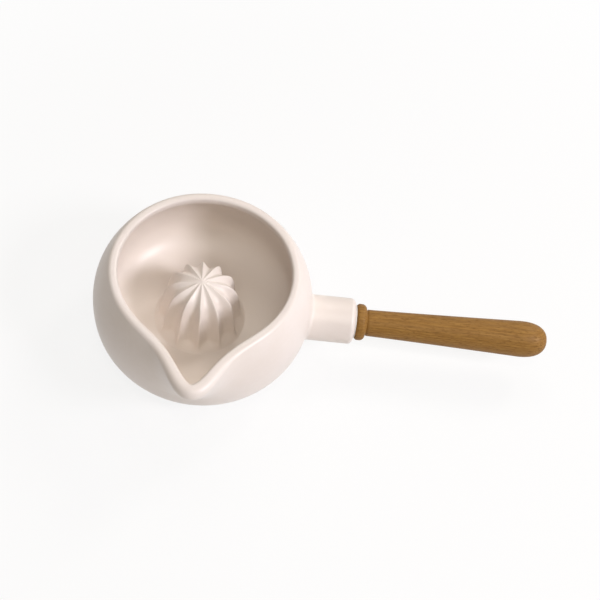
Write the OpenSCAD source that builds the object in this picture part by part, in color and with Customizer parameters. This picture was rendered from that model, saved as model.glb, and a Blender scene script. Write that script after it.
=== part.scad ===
// Side-handled citrus juicer: a glazed ceramic bowl with a pulled spout, a ribbed
// reamer standing in the middle of its floor, and a turned wooden handle that
// screws into a ceramic socket on the bowl's side.
// Millimetres. The origin is the centre of the foot ring on the table, +Z is up,
// +X runs out along the handle and the spout points to -Y.

/* [Bowl] */
// Outside diameter of the bowl at its belly
bowl_d = 108; // [100:1:120]
// Height of the rim's crest above the table
bowl_h = 55; // [50:1:62]
// Height of the belly, where the bowl is widest
belly_h = 29.7; // [26:0.1:32]
// Half height of the egg shape that the wall above the belly follows
wall_rise = 47.4; // [42:0.1:56]
// Thickness of the wall and of its rounded lip
wall_t = 5.1; // [3.5:0.1:6]
// Thickness of the floor
floor_t = 7; // [5:0.5:8]
// Radius at which the inside wall starts to turn up from the floor
floor_r = 24; // [22:0.5:28]
// How square the turn between wall and floor is: lower is squarer
turn_power = 0.9; // [0.7:0.05:1]

/* [Foot ring] */
// Outside radius of the foot ring where it leaves the bowl
foot_r = 36; // [32:0.5:40]
// Width of the foot ring
foot_w = 5.4; // [4:0.2:7]
// Height of the heel, where the bowl's underside meets the foot ring
heel_h = 1.7; // [1.2:0.1:3]
// Depth of the recess inside the foot ring
recess_h = 6; // [3:0.5:7]
// Rounding of the foot ring's edges
foot_round = 0.6; // [0.3:0.1:0.8]

/* [Spout] */
// How far the spout draws the lip outwards
spout_out = 21.5; // [12:0.1:24]
// Turn round the bowl over which the spout falls away, in degrees
spout_spread = 7.8; // [5:0.1:9]
// Height at which the spout starts to leave the wall
spout_from = 20.7; // [16:0.1:26]
// How suddenly the spout leaves the wall on its way up
spout_power = 1.7; // [1.3:0.1:2.4]
// How much thicker the lip is at the tip of the spout, as a share of the wall
spout_swell = 0.41; // [0:0.01:0.6]

/* [Reamer] */
// Number of ribs
ribs = 12; // [8:1:16]
// Height of the reamer above the floor
reamer_h = 31; // [24:0.5:34]
// Radius of the ribs' crests at the floor
reamer_r = 21.3; // [18:0.1:23]
// Radius at which the reamer's side would reach the top if it weren't rounded off
crown_r = 16.6; // [10:0.1:18]
// Depth over which the crown is rounded off
crown_round = 2.4; // [1.5:0.1:5]
// Depth of the flutes between the ribs
groove = 3.2; // [1.5:0.1:3.4]
// Turn of the first rib from the spout, in degrees
rib_turn = 3; // [0:1:15]
// How far the reamer stands from the bowl's centre, away from the handle
reamer_off = 1.2; // [0:0.1:2]
// Radius of the hollow under the reamer
hollow_r = 14.4; // [9:0.1:15]
// Thickness of the reamer's crown over the hollow
crown_t = 6; // [4:0.5:9]

/* [Handle socket] */
// Height of the handle's axis above the table
axis_h = 22.7; // [20:0.1:28]
// Outside diameter of the socket
socket_d = 23; // [20:0.5:26]
// How far the socket stands out from the bowl's belly
socket_out = 22; // [19:0.5:30]
// Rounding of the socket's end
socket_round = 2.6; // [1:0.1:3]
// Diameter of the hole in the socket
socket_hole_d = 15.2; // [13:0.2:16]
// Depth of the hole in the socket
socket_hole_l = 17.5; // [16:0.5:18]
// Gap that the slip fills between the socket and the bowl's wall
slip_gap = 0.05; // [0.02:0.01:0.2]

/* [Threaded insert] */
// Outside diameter of the insert
insert_d = 10; // [9:0.1:11]
// Length of the insert
insert_l = 14; // [12:0.5:15]
// How far the insert sits back from the socket's end
insert_back = 0.6; // [0.2:0.1:1.5]
// Depth of the two grooves that key the insert into the cement
key_depth = 0.7; // [0.3:0.1:1]
// Width of those grooves
key_w = 1.6; // [1:0.1:2.5]

/* [Handle stud] */
// Diameter of the stud
stud_d = 6; // [5:0.5:7]
// Length of stud that is screwed into the insert
stud_grip = 12; // [10:0.5:13]
// Length of stud inside the wood
stud_in_wood = 27; // [20:1:35]
// Length of the stud's pointed end
stud_point = 3; // [2:0.5:5]
// Radial running gap between the stud and the insert
thread_gap = 0.05; // [0.02:0.01:0.09]
// Radial glue line between the stud and the wood
glue_gap = 0.03; // [0.01:0.01:0.1]

/* [Sealing washer] */
// Thickness of the washer between the socket and the handle
washer_t = 0.8; // [0.5:0.1:1.5]
// Outside diameter of the washer
washer_d = 16.4; // [15:0.2:17.6]
// Radial gap between the washer and the stud
washer_gap = 0.3; // [0.1:0.1:0.8]

/* [Handle] */
// Length of the wooden handle
handle_l = 97.5; // [85:0.5:115]
// Diameter of the bead that meets the socket
bead_d = 18.4; // [17:0.1:21]
// Length of the bead
bead_l = 5.1; // [4:0.1:7]
// Rounding of the bead's edge towards the socket
bead_front_round = 1.6; // [0.5:0.1:2]
// Depth of the fine groove behind the bead, below the neck
neck_groove = 0.35; // [0.1:0.05:0.8]
// Diameter of the handle's neck behind the bead
neck_d = 13.4; // [12:0.1:15]
// Diameter of the handle at its thickest
grip_d = 18.3; // [16:0.1:22]
// Length of the rounded end
end_l = 14; // [9:0.5:18]
// How square the rounded end is: higher is squarer
end_power = 2.5; // [2:0.1:3.5]

/* [Hidden] */

ROUND = 96;
around_bowl = 80;
rib_steps = 8;
around_reamer = ribs * rib_steps;

belly_r = bowl_d / 2;
mid_r = belly_r - wall_t / 2;
mid_rise = wall_rise - wall_t / 2;
lip_h = bowl_h - wall_t / 2;
lip_angle = asin((lip_h - belly_h) / mid_rise);
floor_h = recess_h + floor_t;
inside_r = belly_r - wall_t;
foot_in_r = foot_r - foot_w;
foot_mid_r = foot_r - foot_w / 2;

socket_r = socket_d / 2;
socket_end = belly_r + socket_out;
insert_end = socket_end - insert_back;
insert_start = insert_end - insert_l;
hole_start = socket_end - socket_hole_l;
stud_r = stud_d / 2;
stud_start = insert_end - stud_grip;
handle_start = socket_end + washer_t;
stud_end = handle_start + stud_in_wood;
hole_r = stud_r + glue_gap;
cement_back = 0.5;

// Spout

// Share of the spout at an angle from -Y: a bell curve, 1 at the tip.
function spout_share(a) =
    let (x = (a > 180 ? a - 360 : a) / spout_spread) pow(2 / (exp(x) + exp(-x)), 0.8);

// Share of the spout at a height: 0 where it leaves the wall, 1 at the lip.
function spout_lift(h) =
    h <= spout_from ? 0 : pow((h - spout_from) / (lip_h - spout_from), spout_power);

function drawn(h, a) = spout_share(a) * spout_lift(h);

// Turns an outline's point, a distance and a height, to an angle round the bowl from -Y.
function round_z(p, a, off = 0) = [p.x * sin(a) - off, -p.x * cos(a), p.y];

function unit(v) = v / norm(v);

// Bowl wall: its middle surface is an ellipse carried round the axis and drawn out by the
// spout. Its two faces lie half a wall to either side, square to the surface in space, so
// the sides of the spout are as thick as the rest.

function wall_half(p, a) = wall_t / 2 * (1 + spout_swell * drawn(belly_h + mid_rise * sin(p), a));

function wall_mid(p, a) =
    let (h = belly_h + mid_rise * sin(p), k = drawn(h, a))
    round_z([mid_r * cos(p) + spout_out * k, h - spout_swell * wall_t / 2 * k], a);

function wall_up(p, a) = unit(wall_mid(p + 0.01, a) - wall_mid(p - 0.01, a));

function wall_normal(p, a) =
    unit(cross(wall_mid(p, a + 0.01) - wall_mid(p, a - 0.01), wall_up(p, a)));

function wall_point(p, a, side) = wall_mid(p, a) + side * wall_half(p, a) * wall_normal(p, a);

// Half round of the lip, from the outside over the top to the inside.
function lip_point(turn, a) =
    wall_mid(lip_angle, a) + wall_half(lip_angle, a)
    * (cos(turn) * wall_normal(lip_angle, a) + sin(turn) * wall_up(lip_angle, a));

// Below the belly the wall turns in on a quarter of a squared ellipse, which the lower
// part of the spout draws out too.
function turn_in(q, r0, r1, h1, a) =
    let (
        r = r0 + (r1 - r0) * pow(cos(q), turn_power),
        h = belly_h - (belly_h - h1) * pow(sin(q), turn_power)
    )
    round_z([r + spout_out * drawn(h, a), h], a);

// Outline of the bowl's outside, from the heel up to the lip.
function outside(a) = concat(
    [for (q = [90:-9:9]) turn_in(q, foot_r, belly_r, heel_h, a)],
    [for (k = [0:8]) wall_point(lip_angle * k / 9, a, 1)]
);

// Outline of the whole section without the foot ring, from the hollow under the reamer
// round to the floor. The hollow stands a little off centre, with the reamer.
function section(a) = concat(
    [round_z([hollow_r, recess_h], a, reamer_off)],
    [for (h = [recess_h, heel_h]) round_z([foot_mid_r, h], a)],
    outside(a),
    [for (turn = [0:20:180]) lip_point(turn, a)],
    [for (k = [8:-1:0]) wall_point(lip_angle * k / 9, a, -1)],
    [for (q = [10:10:90]) turn_in(q, floor_r, inside_r, floor_h, a)],
    [round_z([hollow_r, floor_h], a, reamer_off)]
);

// Angles round the bowl from -Y, closer together at the spout.
function bowl_angle(i) = let (a = i * 360 / around_bowl) a - 0.6 * sin(a) * 180 / PI;

// Skin of a closed ring: every outline has the same number of points.
module ring_skin(outlines) {
    n = len(outlines);
    m = len(outlines[0]);
    polyhedron(
        points = [for (o = outlines) for (p = o) p],
        faces = [for (i = [0:n - 1]) for (j = [0:m - 1])
            let (a = i * m, b = (i + 1) % n * m, k = (j + 1) % m)
            for (t = [[a + j, a + k, b + k], [a + j, b + k, b + j]]) t],
        convexity = 8
    );
}

module bowl() {
    color([0.96, 0.93, 0.9])
    union() {
        ring_skin([for (i = [0:around_bowl - 1]) section(bowl_angle(i))]);
        foot_ring();
    }
}

// Foot ring, with softened edges and a slope inside up to the recess. Its top is in the wall.
module foot_ring() {
    slope = recess_h / 2;
    outer = foot_r - foot_round;
    rotate_extrude($fn = ROUND)
    polygon([
        [foot_in_r - slope, recess_h + 1], [foot_in_r - slope, recess_h], [foot_in_r, recess_h - slope],
        [foot_in_r, foot_round], [foot_in_r + foot_round, 0],
        [outer - foot_round, 0], [outer, foot_round],
        [outer, heel_h + 1], [foot_mid_r + 1, recess_h + 1]
    ]);
}

// Reamer

// Radius of a rib's crest at a depth below the top: a leaning side, rounded off above.
function crest_r(d) =
    (crown_r + (reamer_r - crown_r) * d / reamer_h) * (1 - exp(-pow(d / crown_round, 0.93)));

// Depth of a flute, 0 on a ridge to 1 in the middle: a sine without its sign.
function flute(a) = abs(sin(ribs * a / 2));

function reamer_point(d, a) =
    let (c = crest_r(d), g = groove * (1 - exp(-pow(c / 6, 1.5))))
    [c - g * flute(a), floor_h + reamer_h - d];

// Dome-shaped hollow inside, from its rim up to the top.
function hollow_point(q) = [hollow_r * cos(q), floor_h + (reamer_h - crown_t) * sin(q)];

top_depth = 0.12;
reamer_depths = [for (k = [0:13]) top_depth + (reamer_h - top_depth) * pow(k / 13, 1.6)];

module reamer() {
    color([0.96, 0.93, 0.9])
    translate([-reamer_off, 0, 0])
    rotate([0, 0, rib_turn])
    reamer_shell();
}

// Two skins, rows of points from the top down outside and from the rim up inside.
module reamer_shell() {
    n = around_reamer;
    rows = concat(
        [for (d = reamer_depths) [for (i = [0:n - 1]) let (a = i * 360 / n) round_z(reamer_point(d, a), a)]],
        [for (q = [0:14:84]) [for (i = [0:n - 1]) let (a = i * 360 / n) round_z(hollow_point(q), a)]]
    );
    count = len(rows);
    top = count * n;
    polyhedron(
        points = concat(
            [for (r = rows) for (p = r) p],
            [[0, 0, floor_h + reamer_h], [0, 0, floor_h + reamer_h - crown_t]]
        ),
        faces = concat(
            [for (i = [0:n - 1]) [top, i, (i + 1) % n]],
            [for (j = [0:count - 2]) for (i = [0:n - 1])
                let (a = j * n + i, b = j * n + (i + 1) % n)
                for (t = [[a, a + n, b + n], [a, b + n, b]]) t],
            [for (i = [0:n - 1]) [top + 1, (count - 1) * n + (i + 1) % n, (count - 1) * n + i]]
        ),
        convexity = 8
    );
}

// Parts on the handle's axis: outlines give the distance along +X first, then the radius.

module on_axis() {
    translate([0, 0, axis_h]) rotate([0, 90, 0]) children();
}

module turned(outline) {
    on_axis()
    rotate_extrude($fn = ROUND)
    polygon([for (p = outline) [p.y, p.x]]);
}

// Quarter round of radius r about (x, y), from one angle to another.
function arc(x, y, r, from, to) =
    [for (k = [0:6]) let (a = from + (to - from) * k / 6) [x + r * cos(a), y + r * sin(a)]];

// Outline of the outside of the bowl away from the spout, a slip gap larger.
module bowl_outside() {
    rotate_extrude($fn = ROUND)
    polygon(concat(
        [[0, heel_h]],
        [for (p = outside(180)) [p.y + slip_gap, p.z]],
        [[0, bowl_h]]
    ));
}

module handle_socket() {
    mouth = socket_hole_d / 2;
    color([0.95, 0.91, 0.88])
    difference() {
        turned(concat(
            [[0, 0], [0, socket_r]],
            arc(socket_end - socket_round, socket_r - socket_round, socket_round, 90, 0),
            [[socket_end, mouth], [hole_start, mouth], [hole_start, 0]]
        ));
        bowl_outside();
    }
}

// Outline of the insert, two grooves round it.
function insert_outline(x0, x1, r) =
    let (g = (x1 - x0 - 2 * key_w) / 3, r2 = r - key_depth)
    [[x0, r],
     [x0 + g, r], [x0 + g, r2], [x0 + g + key_w, r2], [x0 + g + key_w, r],
     [x1 - g - key_w, r], [x1 - g - key_w, r2], [x1 - g, r2], [x1 - g, r],
     [x1, r]];

module socket_insert() {
    bore = stud_r + thread_gap;
    color([0.78, 0.64, 0.36])
    turned(concat(
        [[insert_start, bore]],
        insert_outline(insert_start, insert_end, insert_d / 2),
        [[insert_end, bore]]
    ));
}

module insert_cement() {
    back = stud_r + thread_gap;
    rim = socket_hole_d / 2;
    front = insert_end - cement_back;
    ring = insert_outline(insert_start, insert_end, insert_d / 2);
    color([0.8, 0.79, 0.76])
    turned(concat(
        [[hole_start, 0], [hole_start, rim], [front, rim], [front, insert_d / 2]],
        [for (k = [len(ring) - 2:-1:0]) ring[k]],
        [[insert_start, back], [stud_start - 2, back], [stud_start - 2, 0]]
    ));
}

module sealing_washer() {
    inner = stud_r + washer_gap;
    color([0.86, 0.83, 0.78])
    turned([[socket_end, inner], [socket_end, washer_d / 2],
            [handle_start, washer_d / 2], [handle_start, inner]]);
}

module handle_stud() {
    color([0.72, 0.72, 0.74])
    turned([[stud_start, 0], [stud_start, stud_r - 0.5], [stud_start + 0.5, stud_r],
            [stud_end - stud_point, stud_r], [stud_end, 0.4], [stud_end, 0]]);
}

// Radius of the grip at a share of the way from the neck to its thickest place.
function grip_r(t) = neck_d / 2 + (grip_d - neck_d) / 2 * pow(t, 1.15);

module handle() {
    bead_end = handle_start + bead_l;
    bead_r = bead_d / 2;
    back_round = bead_r - neck_d / 2;
    grip_start = bead_end + 0.9;
    handle_end = handle_start + handle_l;
    cap_start = handle_end - end_l;
    color([0.66, 0.48, 0.27])
    turned(concat(
        [[handle_start, hole_r]],
        arc(handle_start + bead_front_round, bead_r - bead_front_round, bead_front_round, 180, 90),
        arc(bead_end - back_round, bead_r - back_round, back_round, 90, 0),
        [[bead_end + 0.3, neck_d / 2 - neck_groove]],
        [for (k = [0:12]) [grip_start + (cap_start - grip_start) * k / 12, grip_r(k / 12)]],
        [for (k = [1:14]) let (x = sin(k * 90 / 14))
            [cap_start + end_l * x, grip_d / 2 * pow(max(0, 1 - pow(x, end_power)), 1 / end_power)]],
        [[stud_end + 0.5, 0], [stud_end + 0.5, hole_r]]
    ));
}

bowl();
reamer();
handle_socket();
insert_cement();
socket_insert();
sealing_washer();
handle_stud();
handle();
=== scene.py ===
# %% [markdown]
# # A side-handled citrus juicer
# The object is a cream-white glazed bowl with a pulled pouring spout, a ribbed reamer
# in the middle of its floor, a short ceramic socket on its side and a turned beech
# handle that screws into that socket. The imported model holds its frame: every size and
# place below is in metres, in that frame. +X runs out along the handle, the spout
# points to -Y, +Z is up, and the foot ring stands on z = 0.

# %% Load the frame
import math

import bpy
import numpy as np
from mathutils import Matrix, Vector


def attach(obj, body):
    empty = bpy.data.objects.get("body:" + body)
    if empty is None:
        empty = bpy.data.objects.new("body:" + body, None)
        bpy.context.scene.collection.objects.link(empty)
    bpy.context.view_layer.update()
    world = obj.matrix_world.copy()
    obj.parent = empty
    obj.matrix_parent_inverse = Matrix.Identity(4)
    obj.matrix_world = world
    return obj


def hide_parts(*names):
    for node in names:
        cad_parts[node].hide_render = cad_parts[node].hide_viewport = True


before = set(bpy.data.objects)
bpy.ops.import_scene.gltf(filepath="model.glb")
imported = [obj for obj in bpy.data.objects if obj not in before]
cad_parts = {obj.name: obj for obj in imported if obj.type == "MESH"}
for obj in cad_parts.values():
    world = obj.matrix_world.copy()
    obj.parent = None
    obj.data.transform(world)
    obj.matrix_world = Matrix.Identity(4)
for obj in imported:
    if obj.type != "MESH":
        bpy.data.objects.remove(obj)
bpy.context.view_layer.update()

mm = 0.001

# %% [markdown]
# ## From a grid of points to a mesh
# Every new piece here is a surface: a function of two parameters, worked out for a whole
# grid at once. A helper turns that grid into quads. It could call from_pydata with
# lists, but foreach_set takes the arrays as they are, which is quick enough for a
# hundred thousand faces. It also finds which way the faces point from the volume they
# enclose, and turns them all if that comes out negative.

# %% Helper: faces of a grid
def ring_faces(rings, columns, wrap_rows):
    """Quads between each ring of points and the next, and if wrapped from the last to the first."""
    i = np.arange(rings if wrap_rows else rings - 1)[:, None]
    j = np.arange(columns)[None, :]
    down, right = (i + 1) % rings, (j + 1) % columns
    corners = (i * columns + j, i * columns + right, down * columns + right, down * columns + j)
    return np.stack(np.broadcast_arrays(*corners), -1).reshape(-1, 4)


def enclosed_volume(points, quads, fans):
    """Sum over the faces of the volume of the wedge between each and the origin."""
    triangles = np.concatenate([quads[:, [0, 1, 2]], quads[:, [0, 2, 3]], fans])
    a, b, c = (points[triangles[:, k]] for k in range(3))
    return float(np.einsum("ij,ij->i", a, np.cross(b, c)).sum() / 6)


print("two rings of four points are joined by", len(ring_faces(2, 4, False)), "quads")


# %% Helper: grid to mesh
def surface_piece(name, grid, wrap_rows=False, first_pole=None, last_pole=None, pooled_shade=None):
    """A closed mesh from a grid of rows of points that each go once round.

    A row of points is a ring. Rings are joined by quads, the ends by fans of triangles
    to a pole point, or, where wrap_rows is true, the last ring joins the first. Where a
    number is given for each point, for pooled glaze and painted shade, it is kept on the mesh as an
    attribute.
    """
    rows, columns, _ = grid.shape
    points = grid.reshape(-1, 3)
    quads = ring_faces(rows, columns, wrap_rows)
    fans = np.zeros((0, 3), int)
    ring = np.arange(columns)
    for pole, start, way in ((first_pole, 0, 1), (last_pole, (rows - 1) * columns, -1)):
        if pole is not None:
            centre = np.full(columns, len(points))
            ends = [start + (ring + 1) % columns, start + ring]
            fans = np.concatenate([fans, np.stack([centre, *ends[::way]], -1)])
            points = np.concatenate([points, np.array(pole, float)[None]])
    volume = enclosed_volume(points, quads, fans)
    if volume < 0:
        quads, fans = quads[:, ::-1], fans[:, ::-1]
    mesh = bpy.data.meshes.new(name)
    mesh.vertices.add(len(points))
    mesh.vertices.foreach_set("co", points.astype(np.float32).ravel())
    corners = np.concatenate([quads.ravel(), fans.ravel()]).astype(np.int32)
    sizes = np.concatenate([np.full(len(quads), 4), np.full(len(fans), 3)])
    mesh.loops.add(len(corners))
    mesh.loops.foreach_set("vertex_index", corners)
    mesh.polygons.add(len(sizes))
    mesh.polygons.foreach_set("loop_start", (np.cumsum(sizes) - sizes).astype(np.int32))
    mesh.update(calc_edges=True)
    mesh.polygons.foreach_set("use_smooth", np.ones(len(sizes), bool))
    mesh.validate()
    # the attribute carries pooled glaze and painted shade for the glaze's colour
    if pooled_shade is not None:
        values = np.zeros(len(points), np.float32)
        values[:rows * columns] = np.broadcast_to(pooled_shade, (rows, columns)).ravel()
        mesh.attributes.new("pooled_shade", "FLOAT", "POINT").data.foreach_set("value", values)
    piece = bpy.data.objects.new(name, mesh)
    bpy.context.scene.collection.objects.link(piece)
    print(f"{name}: {len(quads) * 2 + len(fans)} triangles, {abs(volume) * 1e6:.2f} cm3")
    return piece


# %% [markdown]
# ## The bowl's sizes
# The bowl is one wall of nearly even thickness. Its middle surface is a piece of an
# ellipse above the belly, and a squarer curve that turns in to the foot below it. The
# spout is that same wall drawn outwards. Its share falls away round the bowl like a
# bell curve, and grows with height, from next to nothing a third of the way up to all
# of it at the lip.

# %% Bowl sizes and the spout
# the belly's radius, the whole height, the belly's height
bowl_r, bowl_h, belly_h = 54 * mm, 55 * mm, 29.7 * mm
# the wall's thickness, and the height of its outside's ellipse above the belly
wall_t, wall_rise = 5.1 * mm, 47.4 * mm
# the floor's height and radius, the recess below it, and how square the wall turns in
floor_h, floor_r, recess_h, turn_power = 13 * mm, 24 * mm, 6 * mm, 0.9
# the hollow under the reamer, and how far it and the reamer stand off the bowl's centre
hollow_r, reamer_off = 14.4 * mm, 1.2 * mm
# the foot ring's radius, width and rounding, and the height at which the wall leaves it
foot_r, foot_w, foot_round, heel_h = 36 * mm, 5.4 * mm, 0.6 * mm, 1.7 * mm
# the spout's reach at the lip, its spread round the bowl, and the height where it starts
spout_out, spout_spread, spout_from = 21.5 * mm, math.radians(7.8), 20.7 * mm
# its growth with height, the softness of its start, its thicker wall, and its bell's power
spout_power, spout_ease, spout_swell, bell_power = 1.7, 0.12, 0.41, 0.8

mid_r, mid_rise = bowl_r - wall_t / 2, wall_rise - wall_t / 2
inside_r, foot_in_r = bowl_r - wall_t, foot_r - foot_w
lip_h = bowl_h - wall_t / 2
lip_angle = math.asin((lip_h - belly_h) / mid_rise)


def spout_share(angle):
    """Bell curve 1 / cosh(angle / spread) to a power, with the angle from the spout's middle."""
    off = (angle + math.pi) % (2 * math.pi) - math.pi
    return (1 / np.cosh(off / spout_spread)) ** bell_power


def spout_lift(height):
    """0 below the spout and 1 at the lip, by a power of the share of the way up between.

    The share leaves 0 without a crease: it is added to the root of its square and ease squared.
    """
    share = (height - spout_from) / (lip_h - spout_from)
    eased = (share + np.sqrt(share ** 2 + spout_ease ** 2)) / (1 + math.sqrt(1 + spout_ease ** 2))
    return eased ** spout_power


print("lip angle", round(math.degrees(lip_angle), 2), "degrees")

# %% [markdown]
# ## The bowl's wall
# The two faces of the wall lie half a wall to either side of a middle surface, square
# to it. Round the bowl a flat outline spun about the axis would do, but where the spout
# is pulled out the wall runs nearly straight away from the axis, and a spun outline
# would come out thin there. So the normal is taken from the surface itself, as the cross
# product of two small steps, and the spout's sides keep the full thickness of the clay.

# %% The wall's middle surface
def round_z(section, angle, off=0):
    """Turns (distance, height) about the bowl's axis, with 0 at the spout and +X at a quarter."""
    r, z = section[..., 0], section[..., 1]
    return np.stack([r * np.sin(angle) - off, -r * np.cos(angle), z], -1)


def wall_middle(rise, angle):
    """A point of the wall's middle: an ellipse, pushed out and a little down by the spout."""
    height = belly_h + mid_rise * np.sin(rise)
    drawn = spout_share(angle) * spout_lift(height)
    return round_z(np.stack([mid_r * np.cos(rise) + spout_out * drawn,
                             height - spout_swell * wall_t / 2 * drawn], -1), angle)


def wall_half(rise, angle):
    """Half the wall's thickness, which swells towards the spout's tip."""
    height = belly_h + mid_rise * np.sin(rise)
    return (wall_t / 2 * (1 + spout_swell * spout_share(angle) * spout_lift(height)))[..., None]


def wall_frame(rise, angle):
    """The wall's outward normal and the way up along it: steps along and across, crossed."""
    step = 2e-4  # radians
    upward = wall_middle(rise + step, angle) - wall_middle(rise - step, angle)
    across = wall_middle(rise, angle + step) - wall_middle(rise, angle - step)
    normal = np.cross(across, upward)
    return (v / np.linalg.norm(v, axis=-1, keepdims=True) for v in (normal, upward))


print("the lip's middle stands", [round(float(np.hypot(*wall_middle(lip_angle, a)[:2])) / mm, 1)
                                  for a in (0, math.pi)], "mm out, at the spout and opposite")


# %% Helpers: rows of points
def spread(start, stop, count):
    """Numbers evenly spread from start to stop, both included."""
    return np.linspace(start, stop, count)


def arc(centre, radius, start, stop, count):
    """Points of a circle about (a, b), from one angle to another in degrees."""
    angle = np.radians(spread(start, stop, count))
    return np.stack([centre[0] + radius * np.cos(angle), centre[1] + radius * np.sin(angle)], -1)


def carried(outline, angle):
    """The same points of an outline for each of the angles."""
    return np.array(outline)[:, None, :] + 0 * angle[None, :, None]


print("a quarter circle in three points:", arc((0, 0), 1, 0, 90, 3).round(2).tolist())

# %% [markdown]
# ## From the foot to the lip
# Below the belly the wall turns in to the foot ring, which is rounded where it stands,
# as glaze and sponge leave it. The floor is hollowed from below, and a hole leads up
# into the reamer. At the lip the section goes round a half circle, as soft as fired
# glaze leaves it, but with a tighter bend at the inner edge, where the potter's sponge
# leaves the rim flat.

# %% The turn-in and the foot
# the hole's rounded edge, the slope from the recess to the ring, a point low on the ring's inside
hole_round, slope, foot_edge = 0.6 * mm, recess_h / 2, 1.2 * mm


def turn_in(q, r0, r1, low):
    """Quarter of a squared ellipse from (r1, belly) at q = 0 to (r0, low) at a quarter turn."""
    c, s = np.maximum(np.cos(q), 0), np.maximum(np.sin(q), 0)
    return np.stack([r0 + (r1 - r0) * c ** turn_power,
                     belly_h - (belly_h - low) * s ** turn_power], -1)


def below_belly(q, r0, r1, low, angle):
    """The turn-in carried round the bowl, drawn out by as much as the spout takes of it."""
    outline = carried(turn_in(q, r0, r1, low), angle)
    drawn = spout_out * spout_share(angle) * spout_lift(outline[..., 1])
    return round_z(outline + np.stack([drawn, 0 * drawn], -1), angle)


def foot_outline():
    """Distance and height from the hollow under the reamer, over the recess and the foot ring.

    The points a fraction of a millimetre from the slope's two ends ease its corners.
    """
    slope_r, slope_h, ring_r = foot_in_r - slope, recess_h - slope, foot_r - foot_round
    return np.concatenate([
        [[hollow_r, floor_h - hole_round], [hollow_r, recess_h + hole_round]],
        arc((hollow_r + hole_round, recess_h + hole_round), hole_round, 180, 270, 5),
        [[slope_r - 1 * mm, recess_h], [slope_r - 0.4 * mm, recess_h - 0.05 * mm],
         [foot_in_r - 0.3 * mm, slope_h + 0.2 * mm], [foot_in_r, slope_h - 0.4 * mm],
         [foot_in_r, foot_edge]],
        arc((foot_in_r + foot_round, foot_round), foot_round, 180, 270, 6),
        [[foot_in_r + foot_w / 2, 0]],
        arc((ring_r - foot_round, foot_round), foot_round, 270, 360, 7),
        [[ring_r, heel_h - 0.3 * mm], [ring_r + 0.15 * mm, heel_h - 0.06 * mm]],
    ])


print("foot outline:", len(foot_outline()), "points")

# %% The lip and the whole section
below_rows, wall_rows, lip_rows = 28, 31, 33
# how much the inner edge swells past a round lip, and over which angle
lip_edge, lip_edge_spread = 0.17, math.radians(25)


def lip_corner(turn, lean):
    """1 on a round lip, and up to 1 + lip_edge halfway from straight up to straight inwards.

    The swell is a bell curve of the angle, times 1 - cos(turn)^4, which ends it at the wall.
    """
    off = (turn + lean - 3 * math.pi / 4) / lip_edge_spread
    return 1 + lip_edge * np.exp(-off ** 2) * (1 - np.cos(turn) ** 4)


def bowl_surface(angle):
    """The closed section of wall, foot and floor for every direction, as points in space."""
    quarter = math.pi / 2 * spread(0, 1, below_rows + 1)[:-1]
    rise, round_it = np.broadcast_arrays(lip_angle * spread(0, 1, wall_rows)[:, None], angle)
    normal, upward = wall_frame(rise, round_it)
    middle, half = wall_middle(rise, round_it), wall_half(rise, round_it)
    turn = np.pi * spread(0, 1, lip_rows + 2)[1:-1, None, None]
    normal_up, way_up = normal[-1], upward[-1]
    corner = lip_corner(turn, np.arcsin(normal_up[:, 2:]))
    lip = middle[-1] + half[-1] * corner * (np.cos(turn) * normal_up + np.sin(turn) * way_up)
    floor_line = [[floor_r, floor_h], [hollow_r + 4 * mm, floor_h], [hollow_r, floor_h]]
    return np.concatenate([
        round_z(carried(foot_outline(), angle), angle),
        below_belly(quarter[::-1], foot_r, bowl_r, heel_h, angle)[:-1],
        middle + half * normal, lip, (middle - half * normal)[::-1],
        below_belly(quarter[1:], floor_r, inside_r, floor_h, angle),
        round_z(carried(floor_line, angle), angle),
    ])


lip_row = len(foot_outline()) + below_rows - 1 + wall_rows
print("the lip takes rows", lip_row, "to", lip_row + lip_rows - 1)

# %% [markdown]
# The angles round the bowl lie closer together at the spout, where the wall bends most.
# A slip-cast wall is never quite true: a ripple of a tenth of a millimetre, too slight
# to see in the outline, is what makes the reflections on the glaze wander a little. The
# hole under the reamer is moved with it, a little off the bowl's centre. From below the
# lip's inner edge the glaze is made deeper and warmer, partly for glaze that runs thick
# there and partly as painted shade for the dim inside of the bowl, and a number on each
# row of points says so.

# %% Bowl surface
turn_count, crowding = 440, 0.6
ripple_h, ripple_fade = 0.10 * mm, 8 * mm
# rows from the lip's first one to the pooled glaze and painted shade, and rows across its edge
shade_pool_after, shade_pool_rows = 25, 14


def smooth(t):
    """0 below 0, 1 above 1, and 3 t^2 - 2 t^3 between."""
    t = np.clip(t, 0, 1)
    return t * t * (3 - 2 * t)


def casting_ripple(points, height):
    """Height times one product of two sines, plus 0.6 of a second one, over 1.6.

    The divisors are millimetres to a radian, so the waves are five to fifteen centimetres long.
    """
    x, y, z = (points[..., k] / mm for k in range(3))
    return height * (np.sin(x / 9.1 + z / 13) * np.sin(y / 10.7 - z / 17)
                     + 0.6 * np.sin((x - y) / 15.3 + 1.3) * np.sin(z / 8.3 + x / 23)) / 1.6


plain = 2 * math.pi * np.arange(turn_count) / turn_count
round_bowl = plain - crowding * np.sin(plain)
bowl_grid = bowl_surface(round_bowl)
from_axis = np.hypot(bowl_grid[..., 0], bowl_grid[..., 1])
bowl_grid[..., 0] -= reamer_off * np.clip((floor_r - from_axis) / (floor_r - hollow_r), 0, 1)
free = np.clip((from_axis - foot_r) / ripple_fade, 0, 1)
bowl_grid += (free * casting_ripple(bowl_grid, ripple_h))[..., None] * np.stack(
    [np.sin(round_bowl), -np.cos(round_bowl), 0 * round_bowl], -1)
# painted shade: the whole inside takes the deeper, warmer glaze colour, partly for thick glaze
bowl_pool_shade = smooth((np.arange(len(bowl_grid)) - lip_row - shade_pool_after) / shade_pool_rows)[:, None]
bowl = surface_piece("bowl_glazed", bowl_grid, wrap_rows=True, pooled_shade=bowl_pool_shade)

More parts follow.
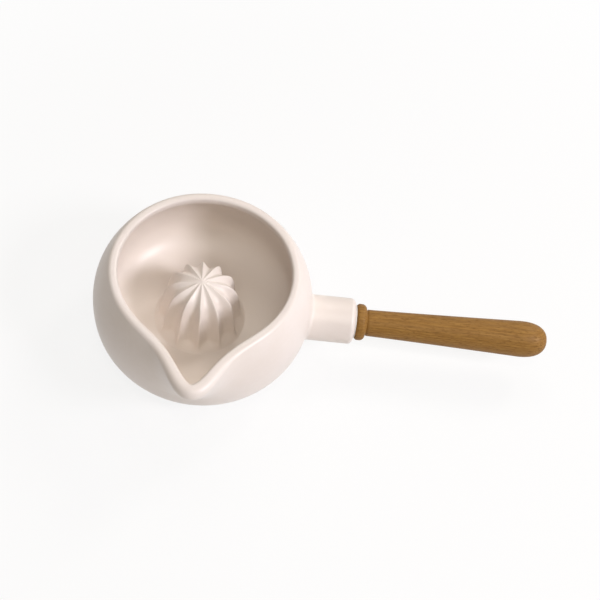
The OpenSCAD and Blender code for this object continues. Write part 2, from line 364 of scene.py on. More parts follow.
# %% [markdown]
# ## The reamer
# The reamer is a blunt dome with sharp ridges, which cut into the fruit, and rounded
# flutes between them, which let the juice run down. Its outline is a leaning side that
# is rounded off at the top. The flutes are a scallop round the axis: the plain sine of
# half the turn, without its sign, falls to a sharp point at each ridge and is round
# between them. A small amount added under a root takes the very edge off the ridges, as
# the glaze does. At the floor it runs out into a small fillet, where slip and glaze
# gather. The inside is hollow, so that the clay is nowhere too thick to fire.

# %% Reamer outline
ribs, rib_turn = 12, math.radians(3)
# the height over the floor, the ridges' radius at the foot, and the crown that rounds them off
reamer_h, reamer_r = 31 * mm, 21.3 * mm
crown_r, crown_round, crown_power = 16.6 * mm, 2.4 * mm, 0.93
# the flutes' depth, the radius and power by which they fade in, and the softness of the ridges
groove, groove_fade, groove_power, ridge_soft = 3.2 * mm, 6 * mm, 1.5, 0.09
# the fillet's height and width, and the clay left over the hollow
flare_h, flare_w, crown_t = 4.5 * mm, 1.6 * mm, 6 * mm


def crest_radius(depth):
    """Radius of a ridge at a depth below the top: a leaning line, rounded off above."""
    return ((crown_r + (reamer_r - crown_r) * depth / reamer_h)
            * (1 - np.exp(-(depth / crown_round) ** crown_power)))


def flute(angle):
    """0 on a ridge, 1 in the middle of a flute: the size of a sine, with its point softened."""
    wave = np.sin(ribs * (angle - rib_turn) / 2)
    return ((np.sqrt(wave ** 2 + ridge_soft ** 2) - ridge_soft)
            / (math.sqrt(1 + ridge_soft ** 2) - ridge_soft))


def reamer_outside(depth, angle):
    """Ridge radius less the flute, which fades in from the top and out again in the fillet."""
    crest = crest_radius(np.minimum(depth, reamer_h))
    left = np.clip((depth - (reamer_h - flare_h)) / flare_h, 0, 1)
    deep = groove * (1 - np.exp(-(crest / groove_fade) ** groove_power)) * (1 - smooth(left))
    flare = flare_w * (1 - np.sqrt(np.maximum(0, 1 - left ** 2)))
    radius = crest - deep * flute(angle) + flare
    return np.stack(np.broadcast_arrays(radius, floor_h + reamer_h - depth), -1)


print("halfway down the ridges stand", round(float(crest_radius(reamer_h / 2)) / mm, 2), "mm out")

# %% Reamer surface
rib_steps, side_rows, flare_rows, hollow_rows = 32, 74, 19, 30
# how far the last ring goes into the floor, how the rows crowd at the top, and where they end
sunk, row_power, first_row, hollow_end = 0.35 * mm, 1.6, 0.004, 0.985
# the pooled glaze and painted shade: its share in the flutes and the depth it takes to gather, then
# all round
flute_pool_shade, flute_fade, shade_pool_top, shade_pool_reach = 0.55, 8 * mm, 10 * mm, 20 * mm

round_reamer = rib_turn + 2 * math.pi * np.arange(ribs * rib_steps) / (ribs * rib_steps)
flare_start = 1 - flare_h / reamer_h
depth = reamer_h * np.concatenate([
    spread(first_row, 1, side_rows) ** row_power * flare_start,
    flare_start + (1 - flare_start) * np.sin(math.pi / 2 * spread(0, 1, flare_rows + 1)[1:])])
ribbed = np.concatenate([reamer_outside(depth[:, None], round_reamer),
                         reamer_outside(depth[-1:, None], round_reamer) - [0, sunk]])
quarter = math.pi / 2 * spread(0, hollow_end, hollow_rows)
hollow_line = np.concatenate([
    [[hollow_r + 1.5 * mm, floor_h - 0.5 * mm], [hollow_r, floor_h - 0.4 * mm]],
    np.stack([hollow_r * np.cos(quarter), floor_h + (reamer_h - crown_t) * np.sin(quarter)], -1)])
reamer_grid = round_z(np.concatenate([ribbed, carried(hollow_line, round_reamer)]),
                      round_reamer, reamer_off)
# painted shade: the flutes and the lower reamer take the deeper, warmer glaze colour, partly for
# thick glaze
flute_shade = flute_pool_shade * flute(round_reamer) * smooth(depth[:, None] / flute_fade)
reamer_pool_shade = np.ones(reamer_grid.shape[:2])
reamer_pool_shade[:len(depth)] = np.maximum(flute_shade, smooth((depth - shade_pool_top) / shade_pool_reach)[:, None])
reamer = surface_piece(
    "reamer_glazed", reamer_grid, pooled_shade=reamer_pool_shade,
    first_pole=(-reamer_off, 0, floor_h + reamer_h),
    last_pole=(-reamer_off, 0, floor_h + reamer_h - crown_t))

# %% [markdown]
# ## The handle's socket
# The socket is a thick clay tube with a well rounded end. It is joined to the wall with
# slip, which leaves a small fillet all round the root. A point of the fillet is found
# from its distance from the wall and its distance from the tube, both taken from one
# quarter circle, and the wall's own place there is the bowl's outside at that height.

# %% The socket's root on the wall
axis_h, socket_r = 22.7 * mm, 11.5 * mm


def bowl_outside_radius(height):
    """The wall's outside radius at a height, on the socket's side, looked up on the outline."""
    low = turn_in(math.pi / 2 * spread(1, 0, 400), foot_r, bowl_r, heel_h)
    rise = lip_angle * spread(0, 1, 200)[1:]
    socket_side = math.pi / 2 + 0 * rise
    outward = next(wall_frame(rise, socket_side))
    high = wall_middle(rise, socket_side) + wall_half(rise, socket_side) * outward
    return np.interp(height, np.concatenate([low[:, 1], high[:, 2]]),
                     np.concatenate([low[:, 0], high[:, 0]]))


def about_axis(along, radius, angle):
    """A point at a distance along +X and a radius from the handle's axis."""
    along, radius, angle = np.broadcast_arrays(along, radius, angle)
    return np.stack([along, radius * np.cos(angle), axis_h + radius * np.sin(angle)], -1)


def on_wall(radius, angle):
    """Distance along +X at which a tube of that radius meets the bowl's outside."""
    wall_r = bowl_outside_radius(axis_h + radius * np.sin(angle))
    return np.sqrt(wall_r ** 2 - (radius * np.cos(angle)) ** 2)


print("the tube's side meets the wall", round(float(on_wall(socket_r, 0)) / mm, 1), "mm out")

# %% Socket surface
socket_start, socket_end, socket_round = 50.5 * mm, 76 * mm, 2.6 * mm
socket_hole_r, hole_start, hole_edge = 7.6 * mm, 58.5 * mm, 0.4 * mm
# the fillet's size, and how far the ring behind it goes into the wall and in from its rim
slip_fillet, root_in, root_down = 1.6 * mm, 1.2 * mm, 0.5 * mm

round_axis = 2 * math.pi * np.arange(192) / 192
bend = math.pi / 2 * spread(1, 0, 12)[:, None]
root_r = socket_r + slip_fillet * (1 - np.cos(bend)) + 0 * round_axis
root_x = on_wall(root_r, round_axis) + slip_fillet * (1 - np.sin(bend))
root = about_axis(root_x, root_r, round_axis)
buried = about_axis(on_wall(root_r[0], round_axis) - root_in, root_r[0] - root_down, round_axis)
tube_line = np.concatenate([
    [[socket_end - 12 * mm, socket_r], [socket_end - 6 * mm, socket_r]],
    arc((socket_end - socket_round, socket_r - socket_round), socket_round, 90, 0, 14),
    arc((socket_end - hole_edge, socket_hole_r + hole_edge), hole_edge, 0, -90, 5),
    [[socket_end - 8 * mm, socket_hole_r], [hole_start + hole_edge, socket_hole_r],
     [hole_start, socket_hole_r - hole_edge]],
])
tube = about_axis(tube_line[:, 0, None], tube_line[:, 1, None], round_axis)
socket = surface_piece("socket_glazed", np.concatenate([buried[None], root, tube]),
                       first_pole=(socket_start, 0, axis_h), last_pole=(hole_start, 0, axis_h))

# %% [markdown]
# ## The turned handle
# A handle turned on a lathe is one outline spun about the axis: a bead against the
# socket, a small cove with a fine groove cut by the tool's corner, a thin neck, a grip
# that swells slowly and a rounded end. A screw modifier could spin it, but a grid
# keeps it closed and lets the radius change a little round the axis, because sanding
# takes more from the soft early wood than from the hard late wood.

# %% Handle outline
handle_start, handle_l = 76.8 * mm, 97.5 * mm
bead_r, bead_l, bead_front = 9.2 * mm, 5.1 * mm, 1.6 * mm
neck_r, neck_l, neck_groove, groove_r = 6.7 * mm, 0.9 * mm, 0.35 * mm, 0.25 * mm
grip_r, grip_power, end_l, end_power = 9.15 * mm, 1.15, 14 * mm, 2.5
# the stud's radius and its far end, the glue round it, and the bottom of its hole
stud_r, stud_end, glue_gap = 3 * mm, 103.8 * mm, 0.03 * mm
hole_bottom = stud_end + 0.5 * mm


def handle_outline():
    """Distance along the axis and radius, from the bottom of the hole out and over the outside.

    The grip's radius grows by a power of the way along it, and the end is a squared ellipse.
    """
    bead_end, cap_start = handle_start + bead_l, handle_start + handle_l - end_l
    hole_r, cove, grip_start = stud_r + glue_gap, bead_r - neck_r, bead_end + neck_l
    t = spread(0, 1, 90)
    grip = np.stack([grip_start + (cap_start - grip_start) * t,
                     neck_r + (grip_r - neck_r) * t ** grip_power], -1)
    x = np.sin(math.pi / 2 * spread(0, 1, 40)[1:-1])
    cap = np.stack([cap_start + end_l * x, grip_r * (1 - x ** end_power) ** (1 / end_power)], -1)
    return np.concatenate([
        [[hole_bottom, hole_r], [handle_start + 0.4 * mm, hole_r], [handle_start, hole_r],
         [handle_start, bead_r - bead_front - 1 * mm]],
        arc((handle_start + bead_front, bead_r - bead_front), bead_front, 180, 90, 12),
        arc((bead_end - cove, bead_r - cove), cove, 90, 8, 16),
        arc((bead_end + 0.38 * mm, neck_r - neck_groove + groove_r), groove_r, 200, 300, 7),
        grip, cap])


outline = handle_outline()
print("handle outline:", len(outline), "points")

# %% Handle surface
# the depth of the unevenness, its drift along the handle, and the radius where sanding starts
sanding, sanding_drift, sanded_from = 0.035 * mm, 40 * mm, 4 * mm
round_handle = 2 * math.pi * np.arange(160) / 160
along, radius = outline[:, 0, None], outline[:, 1, None]
sanded = radius > sanded_from
uneven = sanding * np.sin(2 * round_handle + 0.4 + along / sanding_drift) * sanded
handle = surface_piece(
    "handle_beech", about_axis(along, radius - sanding * sanded + uneven, round_handle),
    first_pole=(hole_bottom, 0, axis_h), last_pole=(handle_start + handle_l, 0, axis_h))

# %% [markdown]
# ## The stud, the bush and the washer
# A steel hanger bolt is screwed into the wood for good, and its machine thread turns in
# a brass bush in the socket. A thread is a wave that moves one pitch along for each
# turn, so its radius depends on the distance along less the share of a turn. The bush
# has the same wave cut outwards from its bore, which keeps the two clear of each other.
# A thin rubber washer keeps the wooden bead off the glaze.

# %% Stud surface
pitch, thread_depth, crest_cut = 1 * mm, 0.55 * mm, 0.62
stud_start, thread_end, point_l = 63.4 * mm, 77.4 * mm, 3 * mm
# the lengths in which the thread starts and runs out, and the tip's taper
thread_in_l, thread_out_l, tip_l, tip_in = 1.2 * mm, 1 * mm, 0.6 * mm, 0.5 * mm


def thread_wave(along, angle):
    """0 at the root and 1 at the crest: a cosine of the distance less the turn, clipped."""
    return np.clip(0.5 + crest_cut * np.cos(2 * math.pi * along / pitch - angle), 0, 1)


round_stud = 2 * math.pi * np.arange(56) / 56
stud_along = spread(stud_start, stud_end - point_l, 620)[:, None]
threaded = (np.clip((stud_along - stud_start) / thread_in_l, 0, 1)
            * np.clip((thread_end - stud_along) / thread_out_l, 0, 1))
tip = np.clip(1 - (stud_along - stud_start) / tip_l, 0, 1)
stud_radius = (stud_r - tip_in * tip
               - thread_depth * (1 - thread_wave(stud_along, round_stud)) * threaded)
stud = surface_piece("stud_steel", about_axis(stud_along, stud_radius, round_stud),
                     first_pole=(stud_start, 0, axis_h), last_pole=(stud_end, 0, axis_h))

# %% Bush surface
insert_start, insert_end, insert_r = 61.4 * mm, 75.4 * mm, 5 * mm
bush_bore, bush_thread, bore_edge = 3.05 * mm, 0.4 * mm, 0.35 * mm

bush_line = np.array([
    [insert_start, 3.6 * mm], [insert_start, 4.8 * mm], [insert_start + 0.2 * mm, insert_r],
    [insert_end - 0.3 * mm, insert_r], [insert_end, 4.7 * mm], [insert_end, 3.9 * mm]])
bush_outside = about_axis(bush_line[:, 0, None], bush_line[:, 1, None], round_stud)
bore_along = spread(insert_end - bore_edge, insert_start + bore_edge, 300)[:, None]
bore_radius = bush_bore + bush_thread * thread_wave(bore_along, round_stud)
bore = about_axis(bore_along, bore_radius, round_stud)
bush = surface_piece("bush_brass", np.concatenate([bush_outside, bore]), wrap_rows=True)

# %% Washer surface
washer_r, washer_hole_r, washer_end, washer_round = 8.2 * mm, 3.3 * mm, 76.8 * mm, 0.3 * mm
edge_r = washer_r - washer_round
washer_line = np.concatenate([
    arc((socket_end + washer_round, edge_r), washer_round, 180, 90, 5),
    arc((washer_end - washer_round, edge_r), washer_round, 90, 0, 5),
    [[washer_end, washer_hole_r], [socket_end, washer_hole_r]]])
washer = surface_piece(
    "washer_ring", about_axis(washer_line[:, 0, None], washer_line[:, 1, None], round_handle),
    wrap_rows=True)

# %% [markdown]
# ## A mottle that more than one material uses
# Glaze, cement, rubber and the film on the metals all vary a little over their surface.
# One node group makes that variation at two sizes and gives out a mask and a height, so
# each material can place it with its own values. It reads Object coordinates, so the
# pattern is fixed in the stuff and has its real size.

# %% Group: soft mottle
def new_group(name, inputs, outputs):
    """An empty shader group with named sockets; inputs give a type and a starting value."""
    group = bpy.data.node_groups.new(name, "ShaderNodeTree")
    for socket, (kind, value) in inputs.items():
        made = group.interface.new_socket(name=socket, in_out="INPUT", socket_type=kind)
        if value is not None:
            made.default_value = value
    for socket, kind in outputs.items():
        group.interface.new_socket(name=socket, in_out="OUTPUT", socket_type=kind)
    return group, group.nodes.new("NodeGroupInput"), group.nodes.new("NodeGroupOutput")


mottle, given, out = new_group(
    "soft_mottle",
    {"Coarse": ("NodeSocketFloat", 60.0), "Fine": ("NodeSocketFloat", 900.0),
     "Fine share": ("NodeSocketFloat", 0.3)},
    {"Mask": "NodeSocketFloat", "Height": "NodeSocketFloat"})
print("group", mottle.name, "takes", [s.name for s in given.outputs if s.name])


# %% Fill the mottle
def feed(tree, socket, value):
    """Links another node's socket to this one, or sets its plain value."""
    if isinstance(value, bpy.types.NodeSocket):
        tree.links.new(value, socket)
    else:
        socket.default_value = value


def add(tree, kind, settings=None, **values):
    """A new node with its settings, and a value or a link for inputs by name, or by place as i0."""
    node = tree.nodes.new(kind)
    for key, value in (settings or {}).items():
        setattr(node, key, value)
    for key, value in values.items():
        by_place = key[0] == "i" and key[1:].isdigit()
        feed(tree, node.inputs[int(key[1:]) if by_place else key.replace("_", " ")], value)
    return node


def own_place(tree):
    """Each point's place in its own piece, in metres. All pieces sit at the origin."""
    return add(tree, "ShaderNodeTexCoord").outputs["Object"]


def maths(tree, operation, a, b=0.0):
    """The result socket of one Math node."""
    return add(tree, "ShaderNodeMath", {"operation": operation}, i0=a, i1=b).outputs[0]


def ramp(tree, factor, low, high):
    """A smooth step of factor from low to high."""
    return add(tree, "ShaderNodeMapRange", {"interpolation_type": "SMOOTHSTEP"},
               Value=factor, From_Min=low, From_Max=high).outputs["Result"]


mask_low, mask_high = 0.32, 0.68
place, share = own_place(mottle), given.outputs["Fine share"]
coarse = add(mottle, "ShaderNodeTexNoise", Vector=place, Scale=given.outputs["Coarse"], Detail=2.0)
fine = add(mottle, "ShaderNodeTexNoise", Vector=place, Scale=given.outputs["Fine"], Detail=3.0)
rest = maths(mottle, "SUBTRACT", 1.0, share)
both = maths(mottle, "ADD", maths(mottle, "MULTIPLY", coarse.outputs["Fac"], rest),
             maths(mottle, "MULTIPLY", fine.outputs["Fac"], share))
mottle.links.new(ramp(mottle, both, mask_low, mask_high), out.inputs["Mask"])
mottle.links.new(both, out.inputs["Height"])
print("group", mottle.name, "gives", [s.name for s in out.inputs if s.name])

# %% [markdown]
# ## Glaze
# Glazed white earthenware is two layers: a pale body that scatters light, and a thin
# satin coat, which gives wide soft lights in place of sharp ones. So it is the shader's
# own coat, a little rough, over a softer base. Glaze runs off an edge and gathers in a
# hollow before it sets. Inside the bowl and down in the flutes the colour is deeper and
# warmer; on the lip and the ridges it is thin and pale. That is partly glaze lying thick
# and partly painted shade, for the dim inside and the shaded flutes. It was worked out
# with the shapes and is on the meshes as an attribute for pooled glaze and painted shade.
# A soft mottle varies the thin glaze a little. The foot ring stands on the kiln shelf, so
# its bottom has to be wiped clean: there the bare clay shows, chosen by height above the
# table.

# %% Helpers: materials
def new_material(name):
    """A material with its node tree and its Principled shader."""
    material = bpy.data.materials.new(name)
    material.use_nodes = True
    shader = next(n for n in material.node_tree.nodes if n.type == "BSDF_PRINCIPLED")
    return material, material.node_tree, shader


def use_group(tree, group, **values):
    """Places a shared group in a material with its own values."""
    node = tree.nodes.new("ShaderNodeGroup")
    node.node_tree = group
    for key, value in values.items():
        feed(tree, node.inputs[key.replace("_", " ")], value)
    return node


def blend_colour(tree, factor, a, b):
    """The result socket of one colour Mix node; a and b are sockets or plain colours."""
    node = tree.nodes.new("ShaderNodeMix")
    node.data_type = "RGBA"
    for index, value in ((0, factor), (6, a), (7, b)):
        feed(tree, node.inputs[index], (*value, 1) if isinstance(value, tuple) else value)
    return node.outputs[2]


def bump(tree, height, strength, distance):
    """Normals tilted by a height, in metres at full strength."""
    return add(tree, "ShaderNodeBump", Height=height, Strength=strength,
               Distance=distance).outputs["Normal"]


def set_plain(shader, **values):
    """Sets plain values on the shader's own sockets."""
    for key, value in values.items():
        shader.inputs[key.replace("_", " ")].default_value = value


glaze, tree, shader = new_material("cream_glaze")
print(glaze.name, "starts with", [node.name for node in tree.nodes])

# %% Material: glaze
glaze_pale, glaze_warm = (0.82, 0.752, 0.705), (0.79, 0.718, 0.66)
# the deep colour is for the inside and the flutes: partly thick glaze, partly painted shade
glaze_deep_shade, clay_bare = (0.80, 0.728, 0.665), (0.80, 0.74, 0.66)
# the heights between which the wiped foot ends, and how far that edge wanders
wiped_low, wiped_high, wiped_wander = 0.0010, 0.0014, 0.0006
# the bare clay's roughness, by how much glaze is smoother, and the coat
clay_rough, glaze_smoother, coat_share = 0.85, 0.45, 0.15

life = use_group(tree, mottle, Coarse=38.0, Fine=420.0, Fine_share=0.25)
height_up = add(tree, "ShaderNodeSeparateXYZ", Vector=own_place(tree)).outputs["Z"]
wander = maths(tree, "MULTIPLY", life.outputs["Height"], wiped_wander)
glazed = ramp(tree, maths(tree, "ADD", height_up, wander), wiped_low, wiped_high)
thin = blend_colour(tree, life.outputs["Mask"], glaze_warm, glaze_pale)
# painted shade: the attribute puts the deeper, warmer colour inside the bowl and down the flutes,
# partly for thick glaze
pooled_shade = add(tree, "ShaderNodeAttribute", {"attribute_name": "pooled_shade"}).outputs["Fac"]
over_clay = blend_colour(tree, pooled_shade, thin, glaze_deep_shade)
smoother = maths(tree, "MULTIPLY", glazed, glaze_smoother)
tree.links.new(blend_colour(tree, glazed, clay_bare, over_clay), shader.inputs["Base Color"])
tree.links.new(maths(tree, "SUBTRACT", clay_rough, smoother), shader.inputs["Roughness"])
tree.links.new(maths(tree, "MULTIPLY", glazed, coat_share), shader.inputs["Coat Weight"])
uneven_coat = bump(tree, life.outputs["Height"], strength=0.25, distance=0.0003)
tree.links.new(uneven_coat, shader.inputs["Normal"])
set_plain(shader, Coat_Roughness=0.28, Coat_IOR=1.5, IOR=1.45)
print(glaze.name, "pale", glaze_pale, "warm", glaze_warm, "deep", glaze_deep_shade)

# %% [markdown]
# ## Beech
# Turned beech is straight-grained. Three things show: the growth rings, seen as long
# soft bands where the turned surface cuts them at a slant, fine fibres along the
# length, and the short dark flecks of the pores and rays. Each is a noise or a wave in
# the wood itself, stretched along the handle, so that the end shows end grain without
# any more work. The rings count years by the distance from the tree's pith, which lay
# well outside this stick of wood.

# %% Group: long grain
pith_y, pith_z = 0.021, 0.034
# the parts of a year at which the late wood starts to show, is darkest, and ends
late_from, late_full, late_end = 0.25, 0.9, 0.92
# the level of the pores' noise at which a fleck starts and is full
fleck_low, fleck_high = 0.54, 0.66

grain, given, out = new_group(
    "long_grain",
    {"Vector": ("NodeSocketVector", None), "Ring": ("NodeSocketFloat", 0.0013),
     "Wander": ("NodeSocketFloat", 0.0016)},
    {"Rings": "NodeSocketFloat", "Fibre": "NodeSocketFloat", "Flecks": "NodeSocketFloat"})
where = given.outputs["Vector"]


def stretched(tree, vector, along, across, detail, roughness=0.5):
    """Noise with its own scale along X and across it, per metre."""
    scaled = add(tree, "ShaderNodeVectorMath", {"operation": "MULTIPLY"},
                 i0=vector, i1=(along, across, across))
    return add(tree, "ShaderNodeTexNoise", Vector=scaled.outputs["Vector"], Scale=1.0,
               Detail=detail, Roughness=roughness).outputs["Fac"]


def offset_squared(tree, value, offset):
    """The square of a value plus an offset."""
    return maths(tree, "POWER", maths(tree, "ADD", value, offset), 2.0)


parts = add(grain, "ShaderNodeSeparateXYZ", Vector=where)
growth = stretched(grain, where, along=26.0, across=90.0, detail=2.0)
drift = maths(grain, "MULTIPLY", maths(grain, "SUBTRACT", growth, 0.5), given.outputs["Wander"])
pith_squared = maths(grain, "ADD", offset_squared(grain, parts.outputs["Y"], pith_y),
                     offset_squared(grain, parts.outputs["Z"], pith_z))
from_pith = maths(grain, "ADD", maths(grain, "SQRT", pith_squared), drift)
time_of_year = maths(grain, "FRACT", maths(grain, "DIVIDE", from_pith, given.outputs["Ring"]))
not_over = maths(grain, "SUBTRACT", 1.0, ramp(grain, time_of_year, late_end, 1.0))
late = maths(grain, "MULTIPLY", ramp(grain, time_of_year, late_from, late_full), not_over)
pores = stretched(grain, where, along=380.0, across=1900.0, detail=2.0)
fibres = stretched(grain, where, along=130.0, across=1400.0, detail=4.0, roughness=0.66)
grain.links.new(late, out.inputs["Rings"])
grain.links.new(fibres, out.inputs["Fibre"])
grain.links.new(ramp(grain, pores, fleck_low, fleck_high), out.inputs["Flecks"])
print("group", grain.name, "gives", [s.name for s in out.inputs if s.name])

# %% Material: oiled beech
beech_light, beech_mid = (0.347, 0.182, 0.043), (0.252, 0.123, 0.025)
beech_dark = (0.145, 0.066, 0.014)
# how much of the dark the rings and the flecks take, and how deep the flecks are dented
ring_share, fleck_share, fleck_dent = 0.28, 0.46, 0.8
wood_rough, fleck_rough, fibre_low, fibre_high = 0.50, 0.2, 0.30, 0.72

beech, tree, shader = new_material("oiled_beech")
centred = add(tree, "ShaderNodeMapping", Vector=own_place(tree), Location=(0.0, 0.0, -axis_h))
wood = use_group(tree, grain, Vector=centred.outputs["Vector"])
fibre, rings, flecks = (wood.outputs[name] for name in ("Fibre", "Rings", "Flecks"))
base = blend_colour(tree, ramp(tree, fibre, fibre_low, fibre_high), beech_mid, beech_light)
ringed = blend_colour(tree, maths(tree, "MULTIPLY", rings, ring_share), base, beech_dark)
flecked = blend_colour(tree, maths(tree, "MULTIPLY", flecks, fleck_share), ringed, beech_dark)
rough = maths(tree, "ADD", wood_rough, maths(tree, "MULTIPLY", flecks, fleck_rough))
relief = maths(tree, "SUBTRACT", fibre, maths(tree, "MULTIPLY", flecks, fleck_dent))
tree.links.new(flecked, shader.inputs["Base Color"])
tree.links.new(rough, shader.inputs["Roughness"])
tree.links.new(bump(tree, relief, strength=0.5, distance=0.00012), shader.inputs["Normal"])
set_plain(shader, IOR=1.4, Specular_IOR_Level=0.3)
print(beech.name, "light", beech_light, "mid", beech_mid, "dark", beech_dark)

# %% [markdown]
# ## The hidden fixings
# These show only when the handle is screwed out. Turned brass and zinc-plated steel
# have fine rings round the axis, left by the tool, and the cement is matt and sandy.
# Each kind of stuff is one function, so that a second metal is only new colours.

# %% Materials: brass, steel, cement, washer
ring_scale, ring_wander, film_rough = 1200.0, 1.5, 0.12


def turned_metal(name, bright, dull, roughness):
    """Metal with fine tool rings along the axis, and a dull film from the mottle."""
    material, tree, shader = new_material(name)
    film = use_group(tree, mottle, Coarse=500.0, Fine=2600.0, Fine_share=0.5).outputs["Mask"]
    rings = add(tree, "ShaderNodeTexWave", {"wave_type": "BANDS", "bands_direction": "X"},
                Vector=own_place(tree), Scale=ring_scale, Distortion=ring_wander)
    rough = maths(tree, "ADD", roughness, maths(tree, "MULTIPLY", film, film_rough))
    tree.links.new(blend_colour(tree, film, dull, bright), shader.inputs["Base Color"])
    tree.links.new(rough, shader.inputs["Roughness"])
    cuts = bump(tree, rings.outputs["Fac"], strength=0.3, distance=0.00003)
    tree.links.new(cuts, shader.inputs["Normal"])
    set_plain(shader, Metallic=1.0)
    return material


def matt_stuff(name, pale, deep, roughness, coarse, fine, depth):
    """A matt surface, mottled between two colours, with grit of a given depth."""
    material, tree, shader = new_material(name)
    grit = use_group(tree, mottle, Coarse=coarse, Fine=fine, Fine_share=0.6)
    colour = blend_colour(tree, grit.outputs["Mask"], deep, pale)
    tree.links.new(colour, shader.inputs["Base Color"])
    grains = bump(tree, grit.outputs["Height"], strength=0.6, distance=depth)
    tree.links.new(grains, shader.inputs["Normal"])
    set_plain(shader, Roughness=roughness)
    return material


brass = turned_metal("turned_brass", (0.80, 0.60, 0.28), (0.62, 0.44, 0.20), roughness=0.22)
steel = turned_metal("plated_steel", (0.74, 0.75, 0.77), (0.60, 0.61, 0.62), roughness=0.26)
cement = matt_stuff("socket_cement", (0.74, 0.72, 0.68), (0.60, 0.58, 0.54),
                    roughness=0.9, coarse=500.0, fine=3000.0, depth=0.0002)
rubber = matt_stuff("washer_rubber", (0.80, 0.77, 0.72), (0.72, 0.69, 0.64),
                    roughness=0.55, coarse=300.0, fine=1800.0, depth=0.00005)
print("hidden stuffs:", [stuff.name for stuff in (brass, steel, cement, rubber)])

# %% [markdown]
# ## Each piece on its body
# A new piece takes the place of a plain solid of the imported model. It rides the body
# that the solid belongs to, so that it moves when the handle is screwed out. The cement
# needs no finer shape than its plain tube, so there the solid itself is dressed.

# %% Dress the pieces
fittings = (
    (bowl, glaze, "bowl", "bowl_body", "glaze"),
    (reamer, glaze, "reamer", "bowl_body", "glaze"),
    (socket, glaze, "handle_socket", "bowl_body", "glaze"),
    (bush, brass, "socket_insert", "bowl_body", "brass"),
    (washer, rubber, "sealing_washer", "washer", "washer"),
    (stud, steel, "handle_stud", "grip", "steel"),
    (handle, beech, "handle", "grip", "wood"),
)
for piece, material, node, body, slot in fittings:
    piece.data.materials.append(material)
    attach(piece, body)
    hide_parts(node)
    print(piece.name, "takes the place of", node, "on", body)
cement_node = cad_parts["insert_cement"]
cement_node.data.materials.clear()
cement_node.data.materials.append(cement)

# %% [markdown]
# ## The room and the floor
# The picture is a plain product shot on white. Light Path lets the camera see the world
# and the ground as plain white, while the pieces are lit by a dim warm room. A share of
# real shading in the ground keeps the juicer's own shadow near it, and fades out
# further away. More light on a real white floor would also give white, but it would
# bleach the glaze.

# %% The room
def white_rays(tree):
    """1 for the rays that meet plain white: the camera's, and those in a gloss or a glass."""
    path = tree.nodes.new("ShaderNodeLightPath")
    seen_or_gloss = maths(tree, "MAXIMUM", path.outputs["Is Camera Ray"],
                          path.outputs["Is Glossy Ray"])
    return maths(tree, "MAXIMUM", seen_or_gloss, path.outputs["Is Transmission Ray"])


room_colour, room_level = (1.0, 0.90, 0.80), 0.14
world = bpy.data.worlds.new("pale_room")
bpy.context.scene.world = world
world.use_nodes = True
nodes, links = world.node_tree.nodes, world.node_tree.links
nodes.clear()
seen = add(world.node_tree, "ShaderNodeBackground", Color=(1, 1, 1, 1), Strength=1.0)
room = add(world.node_tree, "ShaderNodeBackground", Color=(*room_colour, 1), Strength=room_level)
pick = add(world.node_tree, "ShaderNodeMixShader", i0=white_rays(world.node_tree),
           i1=room.outputs[0], i2=seen.outputs[0])
links.new(pick.outputs[0], nodes.new("ShaderNodeOutputWorld").inputs[0])
print(world.name, "colour", room_colour, "level", room_level)

# %% The floor
half_side, floor_drop = 3.0, 0.05 * mm
# the shadow's middle, towards the handle, and the distances over which the shading fades
shadow_x, clear_from, clear_at, shadow_share = 0.06, 0.16, 0.45, 0.16

floor_mesh = bpy.data.meshes.new("floor")
floor_mesh.from_pydata([(x * half_side, y * half_side, -floor_drop)
                        for x, y in ((-1, -1), (1, -1), (1, 1), (-1, 1))], [], [(0, 1, 2, 3)])
floor = bpy.data.objects.new("floor", floor_mesh)
bpy.context.scene.collection.objects.link(floor)
ground, tree, shader = new_material("white_ground")
set_plain(shader, Base_Color=(0.86, 0.85, 0.83, 1), Roughness=0.9)
glow = add(tree, "ShaderNodeEmission", Color=(1, 1, 1, 1), Strength=1.0)
shifted = add(tree, "ShaderNodeMapping", Vector=own_place(tree), Location=(-shadow_x, 0.0, 0.0))
away = add(tree, "ShaderNodeVectorMath", {"operation": "LENGTH"},
           i0=shifted.outputs["Vector"]).outputs["Value"]
cleared = maths(tree, "MULTIPLY", ramp(tree, away, clear_from, clear_at), shadow_share)
plain_white = maths(tree, "ADD", 1 - shadow_share, cleared)
white_share = maths(tree, "MULTIPLY", white_rays(tree), plain_white)
mixed = add(tree, "ShaderNodeMixShader", i0=white_share, i1=shader.outputs[0], i2=glow.outputs[0])
surface_out = next(n for n in tree.nodes if n.type == "OUTPUT_MATERIAL")
tree.links.new(mixed.outputs[0], surface_out.inputs["Surface"])
floor_mesh.materials.append(ground)
print("floor: the camera sees", shadow_share, "of its shading, and none from", clear_at, "m out")

# %% [markdown]
# ## Lamps
# One soft window, to the right and a little in front at thirty-eight degrees, does most
# of it: the bowl's right rim shades the floor and the foot of the reamer from it, and
# the left wall inside catches it. A weaker window on the right, further back, lights the
# wall inside a second time lower down. A high window in front and a pale wall behind
# fill the shade, each a wide soft lamp, and the room fills the rest. A tiny ceiling lamp
# puts small lights on the glaze. One big dome of light would be simpler, but it would
# leave the ribs flat.

# %% Lamps
lit_point = Vector((0, 0, 0.03))


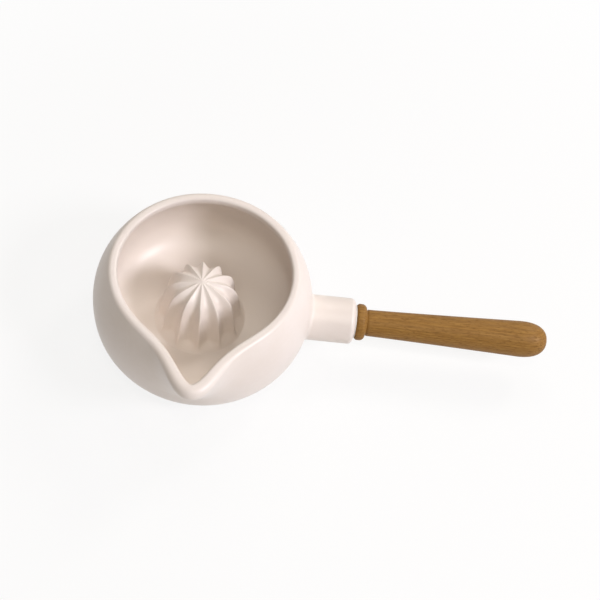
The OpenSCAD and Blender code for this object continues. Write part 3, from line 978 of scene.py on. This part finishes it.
def soft_box(name, azimuth, elevation, distance, size, power, colour):
    """A round area lamp that faces the lit point from an azimuth, 0 at +X, and an elevation."""
    a, e = math.radians(azimuth), math.radians(elevation)
    towards = Vector((math.cos(a) * math.cos(e), math.sin(a) * math.cos(e), math.sin(e)))
    lamp = bpy.data.lights.new(name, "AREA")
    lamp.shape, lamp.size, lamp.energy, lamp.color = "DISK", size, power, colour
    holder = bpy.data.objects.new(name, lamp)
    facing = towards.to_track_quat("Z", "Y").to_matrix().to_4x4()
    holder.matrix_world = Matrix.Translation(lit_point + towards * distance) @ facing
    bpy.context.scene.collection.objects.link(holder)
    print(f"{name}: {power} W from {azimuth}, {elevation} degrees")


# azimuth and elevation in degrees, distance and size in metres, power in watts, colour
soft_box("key_window", -21, 38, 1.5, 0.40, 13.9, (0.945, 0.925, 1.0))
soft_box("side_window", 48, 40, 1.5, 0.40, 5.6, (1.0, 0.95, 0.91))
soft_box("front_window", -80, 60, 1.5, 0.8, 4.0, (1.0, 0.945, 0.865))
soft_box("back_wall", 100, 54, 1.5, 0.8, 3.6, (1.0, 0.95, 0.87))
soft_box("ceiling_lamp", -85.5, 71.8, 1.2, 0.03, 1.1, (1.0, 0.95, 0.88))

# %% [markdown]
# ## Camera
# The camera looks steeply down from the front, so that the whole reamer shows in the
# bowl, and it is rolled by some ten degrees. Its forward way comes from two angles,
# level and above are square to it, and the roll turns those two.

# %% Camera
sensor_mm, focal_px, picture_px = 36.0, 1213.4, 600
camera_place = (0.0148, -0.3339, 0.5303)
azimuth, elevation, roll = 0.09710, 0.97380, 0.18570  # radians

camera_data = bpy.data.cameras.new("camera")
camera_data.sensor_width, camera_data.lens = sensor_mm, focal_px * sensor_mm / picture_px
camera_data.clip_start = 0.01
camera = bpy.data.objects.new("camera", camera_data)
forward = Vector((math.sin(azimuth) * math.cos(elevation),
                  math.cos(azimuth) * math.cos(elevation), -math.sin(elevation)))
level = Vector((math.cos(azimuth), -math.sin(azimuth), 0))
above = level.cross(forward)
right = level * math.cos(roll) + above * math.sin(roll)
up = above * math.cos(roll) - level * math.sin(roll)
facing = Matrix((right, up, -forward)).transposed().to_4x4()
camera.matrix_world = Matrix.Translation(camera_place) @ facing
bpy.context.scene.collection.objects.link(camera)
bpy.context.scene.camera = camera
bpy.context.scene.view_settings.view_transform = "Standard"
print("lens", round(camera_data.lens, 2), "mm")
